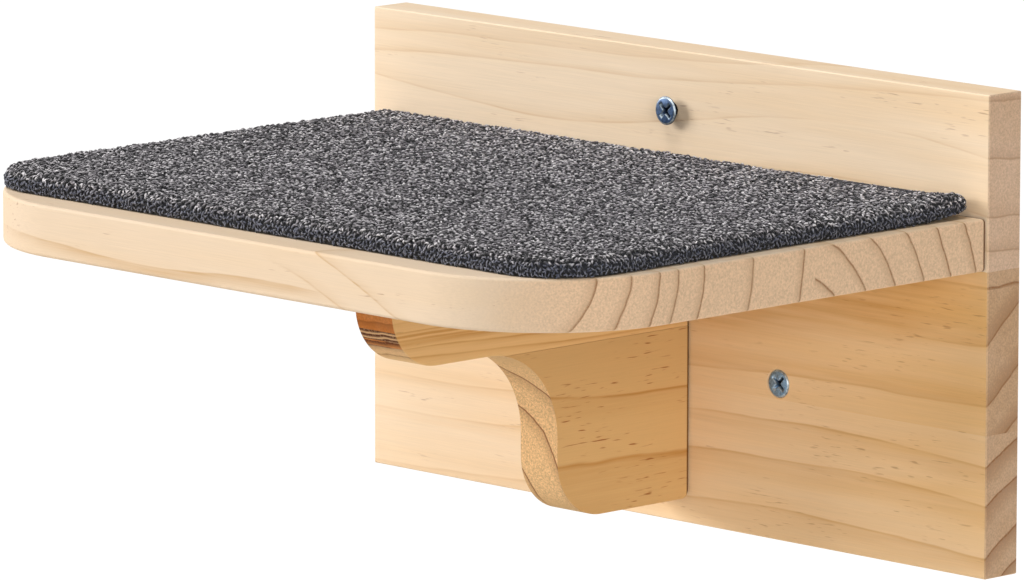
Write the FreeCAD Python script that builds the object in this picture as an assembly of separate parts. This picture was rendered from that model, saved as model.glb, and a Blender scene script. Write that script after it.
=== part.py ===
import FreeCAD, Part
import math
import os

# Cat wall step: a pine shelf with a carpet mat, carried by a back board and a bracket that screw to a wall.
# Millimetres. The origin is the middle of the back board's wall face. +X runs to the right along the board,
# +Y runs into the wall, so the step stands out towards -Y, and +Z is up.

# Back board
board_width = 300.0
board_thickness = 16.0
board_above_shelf = 42.25
board_below_bracket = 9.05
board_edge_ease = 0.4

# Shelf
shelf_end_inset = 1.25
shelf_depth = 209.5
shelf_thickness = 18.0
shelf_corner_radius = 56.5
shelf_edge_ease = 0.8

# Bracket: an arm under the shelf and a block under the arm, glued up and then shaped as one outline
bracket_thickness = 18.0
arm_front_flat = 13.5
arm_nose_radius = 21.5
arm_underside_flat = 25.0
cove_radius = 32.5
block_front_flat = 8.0
block_nose_radius = 21.2
block_back_radius = 3.0
block_depth = 64.5
glue_line_drop = 0.8
bracket_edge_ease = 0.5

# Carpet mat: pile on a backing, held down by strips of double-sided tape
carpet_front_margin = 11.8
carpet_side_margin = 5.3
carpet_back_gap = 0.8
carpet_front_radius = 26.7
carpet_back_radius = 8.0
pile_height = 5.0
pile_edge_round = 2.6
backing_thickness = 1.5
tape_thickness = 0.3
tape_width = 40.0
tape_count = 3
tape_end_margin = 14.0

# Wall screws: countersunk wood screws spaced evenly on a circle, one above the shelf and the rest below it
wall_screw_diameter = 5.0
wall_screw_shank = 3.6
wall_screw_head = 10.0
wall_screw_point = 7.0
wall_screw_grip = 34.0
wall_screw_circle = 120.0
wall_screw_count = 3
upper_screw_standout = 3.5
thread_behind_board = 0.5
wall_hole_play = 0.4

# Assembly screws: countersunk wood screws that join the boards from behind and from above
assembly_screw_diameter = 4.0
assembly_screw_head = 8.0
assembly_screw_point = 5.0
assembly_screw_grip = 34.0
arm_screw_grip = 22.0
assembly_head_sink = 0.3
assembly_hole_play = 0.1
shelf_screw_count = 3
block_screw_drop = 18.0
block_screw_rise = 16.0
arm_screw_tip_clear = 20.0
arm_screw_nose_distance = 25.0

# How far a cutter reaches past the face that it cuts
cutter_overrun = 1.0

# Sizes and places worked out from those above
arm_length = block_depth + cove_radius + arm_underside_flat + arm_nose_radius
arm_height = arm_front_flat + arm_nose_radius
block_height = cove_radius + block_front_flat + block_nose_radius
board_height = board_above_shelf + shelf_thickness + arm_height + block_height + board_below_bracket
board_front = -board_thickness
board_top = board_height / 2
board_bottom = -board_height / 2
shelf_half_width = board_width / 2 - shelf_end_inset
shelf_front = board_front - shelf_depth
shelf_top = board_top - board_above_shelf
shelf_bottom = shelf_top - shelf_thickness
bracket_side = bracket_thickness / 2
arm_front = board_front - arm_length
arm_bottom = shelf_bottom - arm_height
glue_line = arm_bottom - glue_line_drop
block_front = board_front - block_depth
block_bottom = arm_bottom - block_height
carpet_half_width = shelf_half_width - carpet_side_margin
carpet_front = shelf_front + carpet_front_margin
carpet_back = board_front - carpet_back_gap
backing_bottom = shelf_top + tape_thickness
pile_bottom = backing_bottom + backing_thickness
pile_top = pile_bottom + pile_height
wall_screw_length = board_thickness + wall_screw_grip
wall_thread_start = board_thickness + upper_screw_standout + thread_behind_board
upper_screw_height = shelf_top + board_above_shelf / 2
wall_screw_centre = upper_screw_height - wall_screw_circle / 2
back_screw_length = board_thickness + assembly_screw_grip
arm_screw_length = shelf_thickness + arm_screw_grip

ACROSS = FreeCAD.Vector(1, 0, 0)
INTO_WALL = FreeCAD.Vector(0, 1, 0)
OUT_OF_WALL = FreeCAD.Vector(0, -1, 0)
UP = FreeCAD.Vector(0, 0, 1)
DOWN = FreeCAD.Vector(0, 0, -1)
SAME_PLACE = 1e-4


def box_between(low, high):
    """A plain block from its low corner to its high corner."""
    size = high - low
    return Part.makeBox(size.x, size.y, size.z, low)


def level_edges(solid, height):
    """The edges that lie in the level plane at this height."""
    return [
        edge
        for edge in solid.Edges
        if max(abs(edge.BoundBox.ZMin - height), abs(edge.BoundBox.ZMax - height)) < SAME_PLACE
    ]


def upright_edges(solid, y):
    """The edges that stand upright in the plane at this Y."""
    return [
        edge
        for edge in solid.Edges
        if max(abs(edge.BoundBox.YMin - y), abs(edge.BoundBox.YMax - y)) < SAME_PLACE
        and edge.BoundBox.XLength < SAME_PLACE
    ]


def aimed(shape, point, direction):
    """A shape made along +Z from the origin, turned to a direction and moved to a point."""
    placed = shape.copy()
    placed.Placement = FreeCAD.Placement(point, FreeCAD.Rotation(UP, direction))
    return placed


def turned(profile):
    """A round solid turned about Z from (radius, height) points that start and end on its axis."""
    closed = profile + profile[:1]
    outline = Part.makePolygon([FreeCAD.Vector(radius, 0, height) for radius, height in closed])
    return Part.Face(outline).revolve(FreeCAD.Vector(0, 0, 0), UP, 360)


def spread(low, high, count):
    """Evenly spaced places from low to high, each in the middle of its share."""
    share = (high - low) / count
    return [low + share * (index + 0.5) for index in range(count)]


def wall_screw():
    """A wall screw along +Z from the flat of its head: slim shank, then a core as wide as its thread."""
    head_radius = wall_screw_head / 2
    shank_radius = wall_screw_shank / 2
    thread_radius = wall_screw_diameter / 2
    return turned([
        (0, 0),
        (head_radius, 0),
        (shank_radius, head_radius - shank_radius),
        (shank_radius, wall_thread_start),
        (thread_radius, wall_thread_start),
        (thread_radius, wall_screw_length - wall_screw_point),
        (0, wall_screw_length),
    ])


def assembly_screw(length):
    """An assembly screw along +Z from the flat of its head, plain where its thread runs."""
    head_radius = assembly_screw_head / 2
    thread_radius = assembly_screw_diameter / 2
    return turned([
        (0, 0),
        (head_radius, 0),
        (thread_radius, head_radius - thread_radius),
        (thread_radius, length - assembly_screw_point),
        (0, length),
    ])


def screw_hole(head, thread, play, sink, depth):
    """A countersunk bore along +Z from a face, for a screw whose head lies this far below that face."""
    mouth = head / 2 + play + sink
    bore = thread / 2 + play
    return turned([
        (0, -cutter_overrun),
        (mouth + cutter_overrun, -cutter_overrun),
        (bore, mouth - bore),
        (bore, depth),
        (0, depth),
    ])


def wall_screw_places():
    """Each wall screw's place on the board's front face, with how far its head stands out of that face."""
    places = []
    for index in range(wall_screw_count):
        turn = 2 * math.pi * index / wall_screw_count
        x = wall_screw_circle / 2 * math.sin(turn)
        z = wall_screw_centre + wall_screw_circle / 2 * math.cos(turn)
        standout = upper_screw_standout if index == 0 else 0
        places.append((FreeCAD.Vector(x, board_front, z), standout))
    return places


def shelf_screw_places():
    """Places on the wall face, in line with the middle of the shelf's back edge."""
    middle = (shelf_top + shelf_bottom) / 2
    across = spread(-shelf_half_width, shelf_half_width, shelf_screw_count)
    return [FreeCAD.Vector(x, 0, middle) for x in across]


def bracket_screw_places():
    """Places on the wall face behind the arm and the block."""
    arm_middle = (shelf_bottom + arm_bottom) / 2
    heights = [arm_middle, arm_bottom - block_screw_drop, block_bottom + block_screw_rise]
    return [FreeCAD.Vector(0, 0, z) for z in heights]


def arm_screw_places():
    """Places on top of the shelf, over the arm and clear of the screws that come in from behind."""
    back = -(assembly_head_sink + back_screw_length + arm_screw_tip_clear)
    front = arm_front + arm_screw_nose_distance
    return [FreeCAD.Vector(0, y, shelf_top) for y in (back, front)]


def assembly_holes(places, direction, length):
    """The countersunk bores for a row of assembly screws, through one board and into the next."""
    depth = assembly_head_sink + length + assembly_hole_play
    hole = screw_hole(
        assembly_screw_head, assembly_screw_diameter, assembly_hole_play, assembly_head_sink, depth
    )
    return [aimed(hole, place, direction) for place in places]


def assembly_screws(places, direction, length):
    """A row of assembly screws, sunk just below the face that they go in by."""
    one = assembly_screw(length)
    sink = direction * assembly_head_sink
    return Part.makeCompound([aimed(one, place + sink, direction) for place in places])


def wall_screws():
    """The screws that hold the step to the wall, their threads standing out behind the board."""
    one = wall_screw()
    return Part.makeCompound([
        aimed(one, place + OUT_OF_WALL * standout, INTO_WALL) for place, standout in wall_screw_places()
    ])


def wall_holes():
    """The countersunk holes for the wall screws: a head that stands out has a shallower countersink."""
    depth = board_thickness + cutter_overrun
    holes = []
    for place, standout in wall_screw_places():
        hole = screw_hole(wall_screw_head, wall_screw_diameter, wall_hole_play, -standout, depth)
        holes.append(aimed(hole, place, INTO_WALL))
    return holes


def back_board():
    """The upright board against the wall, drilled for the wall screws and for the joints behind it."""
    low = FreeCAD.Vector(-board_width / 2, board_front, board_bottom)
    high = FreeCAD.Vector(board_width / 2, 0, board_top)
    board = box_between(low, high)
    board = board.makeChamfer(board_edge_ease, board.Edges)
    holes = wall_holes()
    holes += assembly_holes(shelf_screw_places(), OUT_OF_WALL, back_screw_length)
    holes += assembly_holes(bracket_screw_places(), OUT_OF_WALL, back_screw_length)
    return board.cut(holes)


def shelf_board():
    """The level board, its front corners rounded in plan and its edges eased."""
    low = FreeCAD.Vector(-shelf_half_width, shelf_front, shelf_bottom)
    high = FreeCAD.Vector(shelf_half_width, board_front, shelf_top)
    shelf = box_between(low, high)
    shelf = shelf.makeFillet(shelf_corner_radius, upright_edges(shelf, shelf_front))
    eased = level_edges(shelf, shelf_top) + level_edges(shelf, shelf_bottom)
    eased += upright_edges(shelf, board_front)
    shelf = shelf.makeChamfer(shelf_edge_ease, eased)
    holes = assembly_holes(shelf_screw_places(), OUT_OF_WALL, back_screw_length)
    holes += assembly_holes(arm_screw_places(), DOWN, arm_screw_length)
    return shelf.cut(holes)


def side_point(y, z):
    """A point on the bracket's left side."""
    return FreeCAD.Vector(-bracket_side, y, z)


def quarter_round(start, centre, end):
    """The arc from start to end about a centre."""
    middle = (start + end) * 0.5 - centre
    middle.normalize()
    return Part.Arc(start, centre + middle * (start - centre).Length, end).toShape()


def bracket_outline():
    """The bracket seen from the side: arm nose, underside, cove, block nose and a rounded back corner."""
    back_top = side_point(board_front, shelf_bottom)
    front_top = side_point(arm_front, shelf_bottom)
    arm_nose_top = side_point(arm_front, arm_bottom + arm_nose_radius)
    arm_nose_end = side_point(arm_front + arm_nose_radius, arm_bottom)
    cove_start = side_point(block_front - cove_radius, arm_bottom)
    cove_end = side_point(block_front, arm_bottom - cove_radius)
    block_nose_top = side_point(block_front, block_bottom + block_nose_radius)
    block_nose_end = side_point(block_front + block_nose_radius, block_bottom)
    back_round_start = side_point(board_front - block_back_radius, block_bottom)
    back_round_end = side_point(board_front, block_bottom + block_back_radius)
    return Part.Wire([
        Part.makeLine(back_top, front_top),
        Part.makeLine(front_top, arm_nose_top),
        quarter_round(arm_nose_top, arm_nose_top + INTO_WALL * arm_nose_radius, arm_nose_end),
        Part.makeLine(arm_nose_end, cove_start),
        quarter_round(cove_start, cove_start + DOWN * cove_radius, cove_end),
        Part.makeLine(cove_end, block_nose_top),
        quarter_round(block_nose_top, block_nose_top + INTO_WALL * block_nose_radius, block_nose_end),
        Part.makeLine(block_nose_end, back_round_start),
        quarter_round(back_round_start, back_round_start + UP * block_back_radius, back_round_end),
        Part.makeLine(back_round_end, back_top),
    ])


def shaped_bracket():
    """Arm and block as one shaped solid, with the outline's edges eased on both sides."""
    bracket = Part.Face(bracket_outline()).extrude(ACROSS * bracket_thickness)
    eased = [
        edge
        for edge in bracket.Edges
        if edge.BoundBox.XLength < SAME_PLACE and edge.BoundBox.ZMin < shelf_bottom - SAME_PLACE
    ]
    return bracket.makeChamfer(bracket_edge_ease, eased)


def bracket_arm():
    """The part of the bracket above the glue line."""
    low = FreeCAD.Vector(-bracket_thickness, arm_front - cutter_overrun, glue_line)
    high = FreeCAD.Vector(bracket_thickness, 0, shelf_top)
    arm = shaped_bracket().common(box_between(low, high))
    holes = assembly_holes(bracket_screw_places(), OUT_OF_WALL, back_screw_length)
    holes += assembly_holes(arm_screw_places(), DOWN, arm_screw_length)
    return arm.cut(holes)


def bracket_block():
    """The part of the bracket below the glue line."""
    low = FreeCAD.Vector(-bracket_thickness, arm_front, block_bottom - cutter_overrun)
    high = FreeCAD.Vector(bracket_thickness, 0, glue_line)
    block = shaped_bracket().common(box_between(low, high))
    return block.cut(assembly_holes(bracket_screw_places(), OUT_OF_WALL, back_screw_length))


def mat_layer(bottom, top):
    """A layer of the carpet mat, cut to its plan: wide rounds in front and small ones at the back."""
    low = FreeCAD.Vector(-carpet_half_width, carpet_front, bottom)
    high = FreeCAD.Vector(carpet_half_width, carpet_back, top)
    layer = box_between(low, high)
    layer = layer.makeFillet(carpet_front_radius, upright_edges(layer, carpet_front))
    return layer.makeFillet(carpet_back_radius, upright_edges(layer, carpet_back))


def carpet_pile():
    """The pile, rounded over along its top edge."""
    pile = mat_layer(pile_bottom, pile_top)
    return pile.makeFillet(pile_edge_round, level_edges(pile, pile_top))


def carpet_backing():
    """The thin backing that the pile stands in."""
    return mat_layer(backing_bottom, pile_bottom)


def carpet_tape():
    """Strips of double-sided tape between the shelf and the backing, almost from end to end of the mat."""
    reach = carpet_half_width - tape_end_margin
    strips = []
    for middle in spread(carpet_front, carpet_back, tape_count):
        low = FreeCAD.Vector(-reach, middle - tape_width / 2, shelf_top)
        high = FreeCAD.Vector(reach, middle + tape_width / 2, backing_bottom)
        strips.append(box_between(low, high))
    return Part.makeCompound(strips)


nodes = {
    "back_board": back_board(),
    "shelf_board": shelf_board(),
    "bracket_arm": bracket_arm(),
    "bracket_block": bracket_block(),
    "carpet_pile": carpet_pile(),
    "carpet_backing": carpet_backing(),
    "carpet_tape": carpet_tape(),
    "wall_screws": wall_screws(),
    "shelf_screws": assembly_screws(shelf_screw_places(), OUT_OF_WALL, back_screw_length),
    "bracket_screws": assembly_screws(bracket_screw_places(), OUT_OF_WALL, back_screw_length),
    "arm_screws": assembly_screws(arm_screw_places(), DOWN, arm_screw_length),
}

os.makedirs("parts", exist_ok=True)
for name, shape in nodes.items():
    shape.exportStep("parts/" + name + ".step")
    print(name, len(shape.Solids), "solids,", round(shape.Volume), "mm3, valid:", shape.isValid())
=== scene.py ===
"""A wall step for cats: pine boards, a shaped bracket, a loop-pile mat and blue-zinc screws."""
import math
from typing import NamedTuple

import bmesh
import bpy
from bpy.props import FloatProperty, FloatVectorProperty, IntProperty, PointerProperty
from mathutils import Matrix, Quaternion, Vector, noise


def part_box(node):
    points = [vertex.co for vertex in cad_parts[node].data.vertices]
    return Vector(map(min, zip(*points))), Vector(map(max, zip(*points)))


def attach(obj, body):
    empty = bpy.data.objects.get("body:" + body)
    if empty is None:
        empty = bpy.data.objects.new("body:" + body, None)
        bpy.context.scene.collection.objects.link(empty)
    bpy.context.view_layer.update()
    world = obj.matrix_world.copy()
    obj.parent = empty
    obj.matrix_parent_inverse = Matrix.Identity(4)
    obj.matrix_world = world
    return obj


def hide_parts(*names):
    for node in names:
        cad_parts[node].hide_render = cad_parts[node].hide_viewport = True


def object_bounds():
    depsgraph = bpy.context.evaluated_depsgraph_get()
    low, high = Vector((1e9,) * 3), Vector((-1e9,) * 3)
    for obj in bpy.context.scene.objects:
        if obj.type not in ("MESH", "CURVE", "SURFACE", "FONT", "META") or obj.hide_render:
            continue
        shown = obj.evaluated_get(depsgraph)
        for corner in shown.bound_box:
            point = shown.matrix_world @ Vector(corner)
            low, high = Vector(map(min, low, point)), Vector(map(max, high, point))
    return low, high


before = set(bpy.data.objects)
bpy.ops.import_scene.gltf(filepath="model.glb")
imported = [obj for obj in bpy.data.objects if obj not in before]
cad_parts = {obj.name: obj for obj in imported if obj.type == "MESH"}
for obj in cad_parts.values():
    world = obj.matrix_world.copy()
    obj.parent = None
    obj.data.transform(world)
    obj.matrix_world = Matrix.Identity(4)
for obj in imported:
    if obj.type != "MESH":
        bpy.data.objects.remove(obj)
CAD_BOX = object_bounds()

bl_info = {
    "name": "Cat Wall Step",
    "version": (1, 0, 0),
    "blender": (4, 5, 0),
    "location": "View3D > Sidebar > Cat Step",
    "description": "Builds a wall step for cats: pine shelf, back board and bracket, carpet mat and screws",
    "category": "Add Mesh",
}

MM = 0.001
BODY = "root"
ALONG, OUT, UP = range(3)
WHITE = (1, 1, 1, 1)
BLACK = (0, 0, 0, 1)
# Places nearer to each other than this touch
TOUCH = 0.01 * MM
# Faces of an outline's wall that meet at less than this are shaded as one curve
SMOOTH_UNDER = math.radians(40)

# Turns that bring +Z to each way that the screws go in
INTO_WALL = Matrix.Rotation(-math.pi / 2, 3, "X")
OUT_OF_WALL = Matrix.Rotation(math.pi / 2, 3, "X")
DOWN = Matrix.Rotation(math.pi, 3, "X")

# Screws, in mm: along +Z from the flat of the head, with radii for the head, shank, core and thread
WALL_SCREW = {
    "head": 5.0, "shank": 1.8, "core": 1.7, "thread": 2.5, "plain": 20.0, "length": 50.0, "point": 7.0,
}
BACK_SCREW = {
    "head": 4.0, "shank": 1.45, "core": 1.35, "thread": 2.0, "plain": 16.0, "length": 50.0, "point": 5.0,
}
ARM_SCREW = {**BACK_SCREW, "plain": 14.0, "length": 40.0}
# A head's flat, the depth of its bevel and the height of its rim, as shares of its radius
HEAD_FLAT, HEAD_BEVEL, HEAD_RIM = 0.86, 0.09, 0.1
# Depth of the chamfer round the mouth of a screw's recess, in mm, which gets a painted highlight
LIP = 0.22
# How much painted light a screw gets: painted shade in the recess and under the head, none on its plain
# # faces, and a painted highlight along its edges
PAINTED_SHADE, PLAIN, PAINTED_HIGHLIGHT = 0.0, 0.5, 1.0
# Sides of a screw, of a screw hole and of the cone in a recess
SCREW_SIDES, BORE_SIDES, CONE_SIDES = 40, 32, 16
# Faces of a screw that meet at more than this keep a sharp edge
SHARP_OVER = math.radians(25)
# How far the heads of the assembly screws sink below the face, and the play round the screws, in mm
HEAD_SINK, HOLE_PLAY = 0.3, 0.1

# Soft lights: turn from the front towards the right and height in degrees, distance and side in metres, watts
LIGHTS = (
    ("key light", -58, 19, 10.0, 4.8, 965),
    ("high light", -10, 75, 5.0, 2.4, 128),
    ("right light", 67, 12, 5.0, 2.4, 118),
)
# Width of the camera's sensor in mm
SENSOR = 36

# Figure of the pine, as lengths in mm along the grain, across it and upwards. Real fibres are a few
# hundredths wide and resin channels a tenth or two, too fine to show, so both are drawn coarse enough to.
RING_WANDER = (130, 28, 28)
RING_PATCH = (60, 2.2, 2.2)
WARM_DRIFT = (160, 14, 14)
FIBRE = (22, 0.45, 0.45)
PORE = (0.7, 0.7, 0.7)
RESIN_CHANNEL = (8, 0.7, 0.7)
RESIN_SWARM = (50, 9, 9)
# How far the rings wander in and out, in mm
RING_WANDER_SIZE = 5.0


class Stave(NamedTuple):
    """One stave of a glued-up board, with its growth rings. Lengths are in mm."""

    # The pith's place across the grain and upwards
    pith: tuple
    # How the rings wander along the grain: a wave's height, length and start, and a steady slope
    wave: tuple
    # For each ring, the radius of its dark outer line and the width of the late wood inside it. A third
    # number is the depth up to which that wood is evenly dark.
    rings: tuple
    # How dark the late wood gets before its line
    band: float
    # How warm the wood is at the stave's two ends, and how strong its rings are there
    tone: tuple = (0.0, 0.0)
    bold: tuple = (1.0, 1.0)
    # Where the stave starts, for all but a board's first
    above: float = 0.0
    # Pairs of places along the grain: the rings fade in from the first to the second
    clear: tuple = ()
    # A second set of rings, with a pith and a wave of its own
    other: object = None


# Painted shadow of the shelf on the back board: a dark band just below the shelf, drawn as one more ring of
# late wood, sloping up towards the right and shown fully from 30 to 110 mm along the board
SHELF_SHADOW_BAND = Stave(
    (0, -2000), (1.0, 120, 20, 0.11), ((2026, 47, 37),), 1.0, clear=((-20, 30), (150, 110)),
)
# The lower three staves grow warmer towards the right: partly the wood's own tone and partly painted warm
# shade, where the bracket and the shelf shade the board
BACK_BOARD_STAVES = (
    Stave(
        (50, -160), (4.3, 420, -45, 0.0), ((96, 5), (106.3, 6), (121.2, 8), (132.5, 7)), 0.5,
        tone=(0.1, 0.7), bold=(0.35, 1.0),
    ),
    Stave(
        (-250, 280), (1.5, 200, 0, 0.03), ((353, 6), (369.7, 7), (385.9, 7), (399, 6)), 0.5,
        tone=(0.05, 0.92), bold=(0.35, 0.9), above=-33.6, other=SHELF_SHADOW_BAND,
    ),
    Stave(
        (0, -2000), (0.4, 300, 0, 0.0), ((2017.6, 1.2),), 0.5,
        tone=(0.05, 0.92), bold=(0.6, 0.9), above=16.5, other=SHELF_SHADOW_BAND,
    ),
    Stave(
        (15, 350), (6.3, 286, 8.5, 0.012), ((292.6, 6), (311.6, 5), (323.4, 5)), 0.35,
        tone=(0.0, 0.1), bold=(0.65, 0.5), above=22.6,
    ),
    Stave(
        (15, 350), (0.8, 240, 60, 0.045), ((270.9, 6), (277.9, 2)), 0.5,
        tone=(0.0, 0.2), bold=(0.5, 0.4), above=66,
    ),
)
FRONT_STREAK = Stave(
    (-225, -200), (1.2, 130, -13, -0.012), ((227.2, 4),), 0.75, clear=((50, 30), (-130, -80)),
)
SHELF_STAVES = (
    Stave(
        (-225, 61), (18.7, 257.6, 192.4, 0.0),
        ((29.8, 4), (41.7, 4), (53.7, 4), (62.2, 3), (74.6, 4), (96.4, 4), (121, 4)), 0.25,
        tone=(0.1, 0.1), clear=((15, 50),), other=FRONT_STREAK,
    ),
    Stave(
        (-120.5, -4.3), (4, 260, 10, 0.0),
        ((41.7, 3), (54.3, 3), (66.8, 4), (80, 3), (92.5, 3), (104, 4)), 0.25, tone=(0.3, 0.3), above=-99,
    ),
)
ARM_STAVES = (
    Stave((0, -200), (0.5, 160, -30, -0.02), ((188.6, 2), (192, 2)), 0.3),
    Stave((0, -200), (0.4, 160, -30, 0.0), ((197.0, 2.0),), 0.85, tone=(1.0, 1.0), above=-4.8),
    Stave((0, -200), (0.4, 160, -30, 0.0), ((197.9, 1.0), (199.5, 1.1), (201.1, 1.1)), 0.85, above=-2.6),
    Stave(
        (0, -200), (0.5, 160, -30, 0.03), ((204, 2.4), (208.5, 3), (214, 4)), 0.6,
        tone=(1.0, 1.0), bold=(0.45, 0.45), above=1.1,
    ),
)
BLOCK_STAVES = (
    Stave((23.3, -70.7), (1, 180, -30, -0.08), ((17.2, 4), (34.2, 5), (47.1, 6)), 0.3, tone=(0.4, 0.4)),
)


class Pine(NamedTuple):
    """The pine of one piece."""

    name: str
    # The settings that hold its colours: long grain pale and warm, end grain pale and warm, the tint of the
    # late wood, and the rings on the end grain
    tints: tuple
    # How mottled its end grain is, how strong its resin flecks are, and how much more of it they cover
    sand: float
    flecks: float
    plenty: float
    # The axis that its fibres run along, the axis that its staves are counted on, and its staves
    grain: int
    split: int
    staves: tuple


BACK_BOARD_PINE = Pine(
    "planed pine back board",
    ("board_wood", "board_warm", "board_end", "board_warm_end", "late_wood", "end_rings"),
    sand=0.14, flecks=0.38, plenty=0.0, grain=ALONG, split=UP, staves=BACK_BOARD_STAVES,
)
SHELF_PINE = Pine(
    "planed pine shelf",
    ("shelf_wood", "shelf_warm", "shelf_end", "shelf_end", "late_wood", "end_rings"),
    sand=0.14, flecks=0.4, plenty=0.02, grain=ALONG, split=OUT, staves=SHELF_STAVES,
)
ARM_PINE = Pine(
    "planed pine bracket arm",
    ("arm_wood", "arm_wood", "arm_end", "arm_heart", "late_wood", "heart_rings"),
    sand=0.14, flecks=0.4, plenty=0.0, grain=OUT, split=UP, staves=ARM_STAVES,
)
BLOCK_PINE = Pine(
    "planed pine bracket block",
    ("block_wood", "block_wood", "block_end", "block_end", "block_late", "block_rings"),
    sand=0.28, flecks=0.8, plenty=0.07, grain=OUT, split=UP, staves=BLOCK_STAVES,
)


def linear(code):
    """An sRGB hex colour as linear red, green, blue and alpha."""
    shares = [int(code[start:start + 2], 16) / 255 for start in (0, 2, 4)]
    plain = [share / 12.92 if share <= 0.04045 else ((share + 0.055) / 1.055) ** 2.4 for share in shares]
    return plain + [1.0]


def colour(name, code, description):
    """A colour that a user may change."""
    return FloatVectorProperty(
        name=name, description=description, default=linear(code), subtype="COLOR", size=4, min=0, max=1,
    )


def size(name, millimetres, description):
    """A length that a user may change, given in mm and kept in metres."""
    return FloatProperty(
        name=name, description=description, default=millimetres * MM,
        subtype="DISTANCE", unit="LENGTH", precision=4,
    )


def angle(name, degrees, description):
    """An angle that a user may change, given in degrees."""
    return FloatProperty(name=name, description=description, default=math.radians(degrees), subtype="ANGLE")


class PineSettings(bpy.types.PropertyGroup):
    """Colours of the planed pine and the rounding of its edges."""

    board_wood: colour("Back board", "FAE2C4", "Palest wood of the back board")
    # On the lower staves, part of this warmth towards the right is painted warm shade
    board_warm: colour("Back board, warm", "EABE80", "Warmer wood of the back board's lower staves")
    board_end: colour("Back board end", "D8B99E", "End grain of the back board")
    board_warm_end: colour("Back board end, warm", "C5A17E", "End grain of the back board's lower staves")
    shelf_wood: colour("Shelf", "E6CFB4", "Palest wood of the shelf")
    shelf_warm: colour("Shelf, warm", "E8C79C", "Warmer wood of the shelf")
    shelf_end: colour("Shelf end", "E4C3A1", "End grain of the shelf")
    arm_wood: colour("Arm", "E8BF86", "Long grain of the bracket's arm")
    arm_end: colour("Arm end", "D9B184", "Sapwood on the end of the arm")
    arm_heart: colour("Arm heart", "C67A3A", "Heartwood on the end of the arm")
    block_wood: colour("Block", "D2AA73", "Long grain of the bracket's block")
    block_end: colour("Block end", "E1B987", "End grain of the block")
    late_wood: colour("Late wood", "E4D2B6", "Tint of the growth rings on a long face")
    block_late: colour("Block late wood", "DFC9A6", "Tint of the growth rings on the long faces of the block")
    end_rings: colour("End rings", "8A5A32", "Growth rings where the fibres are cut across")
    block_rings: colour("Block end rings", "6E3210", "Growth rings on the end grain of the block")
    heart_rings: colour("Heart rings", "4C1A04", "Growth rings of the heartwood on the end of the arm")
    # Painted shadow along the joint where a piece butts against the back board, in a glue brown
    glue: colour("Joint line", "5A2E06", "Painted shadow along a joint, in a glue brown")
    resin: colour("Resin flecks", "8A4410", "Short dark resin channels along the grain")
    shelf_arris: size("Shelf arris", 1.2, "Rounding of the shelf's edges")
    bracket_arris: size("Bracket arris", 0.5, "Rounding of the bracket's edges")
    joint_gap: size("Joint gap", 0.4, "Fine gap between the back board and the pieces that butt against it")
    glue_groove: size("Glue groove", 0.25, "Fine groove where the arm and the block are glued")
    corner_radius: size("Corner radius", 56.5, "Round of the shelf's front corners, seen from above")


class BracketSettings(bpy.types.PropertyGroup):
    """The bracket's outline, seen from the side."""

    arm_nose: size("Arm nose", 21.5, "Radius under the front of the arm")
    cove: size("Cove", 32.5, "Radius of the hollow under the arm")
    block_nose: size("Block nose", 21.2, "Radius under the front of the block")
    block_back: size("Block back corner", 3.0, "Radius of the block's lower back corner")
    block_depth: size("Block depth", 64.5, "How far the block stands out of the back board")
    glue_drop: size("Glue line drop", 0.8, "How far the glue line lies below the arm's flat underside")


class CarpetSettings(bpy.types.PropertyGroup):
    """Sizes and colours of the loop-pile mat."""

    front_radius: size("Front corners", 26.7, "Round of the mat's front corners")
    back_radius: size("Back corners", 4.5, "Round of the mat's back corners")
    edge_round: size("Edge round", 4.2, "Round of the pile's top edge")
    bed_inset: size("Bed inset", 1.1, "How far the loops stand out of the dense bed of the pile")
    foot_drop: size("Foot drop", 0.9, "How far the pile hangs down over the edge of the backing")
    curl: size("Corner curl", 2.6, "How far the mat's right back corner has curled up")
    curl_reach: size("Curl reach", 30.0, "How far from the corner the curl starts")
    unevenness: size("Unevenness", 0.35, "How far the cut edge wanders in and out")
    seed: IntProperty(name="Seed", description="Which way the cut edge wanders", default=3, min=1)
    yarn_radius: size("Yarn radius", 0.31, "Half the thickness of a yarn")
    loop_reach: size("Loop reach", 0.9, "Half the width of a loop")
    loop_rise: size("Loop rise", 1.6, "Height of a loop's handles above the bed")
    loop_curl: size("Loop curl", 0.75, "How far a loop bends to its sides")
    loop_spacing: size("Loop spacing", 1.2, "Least distance between the feet of two loops")
    strips: IntProperty(name="Strips", description="Pieces that the loops are split into", default=8, min=1)
    # The bed's near black is partly the felt's own colour and partly painted shade between the loops
    bed: colour("Bed", "26272E", "Dense felt between the loops")
    dark_yarn: colour("Dark yarn", "343238", "Charcoal fibres of the heather mix")
    grey_yarn: colour("Grey yarn", "AEA8AD", "Grey fibres of the heather mix")
    pale_yarn: colour("Pale yarn", "FFFAFC", "Palest fibres of the heather mix")
    edge_yarn: colour("Edge yarn", "545A70", "Slate blue of the cut edge")
    backing: colour("Backing", "15130F", "Woven backing")
    tape: colour("Tape", "D9D8CF", "Double-sided tape")


class ScrewSettings(bpy.types.PropertyGroup):
    """Sizes and colours of the countersunk screws."""

    zinc: colour("Blue zinc", "42597A", "Blue-passivated zinc")
    grey_zinc: colour("Grey zinc", "7A99B6", "Zinc with a thin, greyer passivation")
    # Colour of the painted highlight on the edges of the head and round the recess
    zinc_highlight: colour("Bright zinc", "B0BCC2", "Zinc rubbed bright along the edges of the head")
    # Painted shade in the bottom of the cross recess, and painted shadow on the cone under the head
    recess: colour("Recess", "10151B", "Dark bottom of the cross recess, and the shaded cone under the head")
    pitch: size("Pitch", 2.2, "Distance from one turn of the thread to the next")
    wing: size("Recess wing", 1.3, "Width of a wing of the cross recess")


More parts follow.
